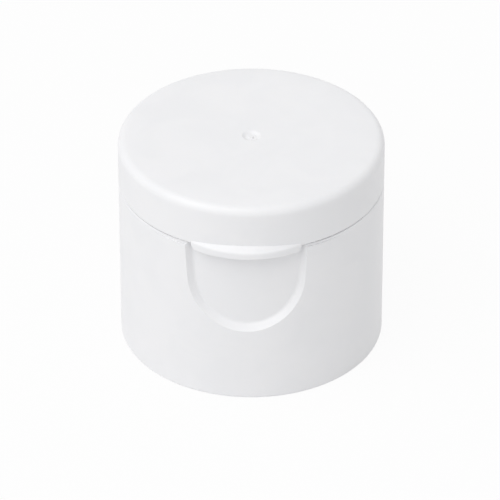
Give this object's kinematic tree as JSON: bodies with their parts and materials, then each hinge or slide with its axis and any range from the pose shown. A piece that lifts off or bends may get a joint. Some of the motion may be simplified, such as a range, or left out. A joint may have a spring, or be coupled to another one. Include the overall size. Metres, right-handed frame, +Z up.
{
  "type": "flip top cap",
  "caption": "Round double-walled screw closure with a hinged snap lid, thumb recess, tab and central spout.",
  "frame": {"origin": "centre of the closure's mouth, on the plane of its bottom rim", "axes": "+Z up along the neck axis towards the lid, -Y towards the thumb recess, +Y towards the hinge, X along the hinge"},
  "size_m": [0.031, 0.0318, 0.0264],
  "materials": {
    "closure_body": "satin white polypropylene",
    "flip_lid": "satin white polypropylene",
    "hinge_film": "satin white polypropylene"
  },
  "bodies": {
    "closure": {"closure_body": "closure_body", "hinge_film_left": "hinge_film", "hinge_film_right": "hinge_film", "hinge_spring_strap": "hinge_film"},
    "lid": {"flip_lid": "flip_lid"}
  },
  "joints": [
    {"name": "lid_hinge", "type": "hinge", "parent": "closure", "child": "lid", "pos_m": [0, 0.01532, 0.0206], "axis": [-1, 0, 0], "range_deg": [0, 170], "deforming": ["hinge_film_left", "hinge_film_right", "hinge_spring_strap"]}
  ]
}
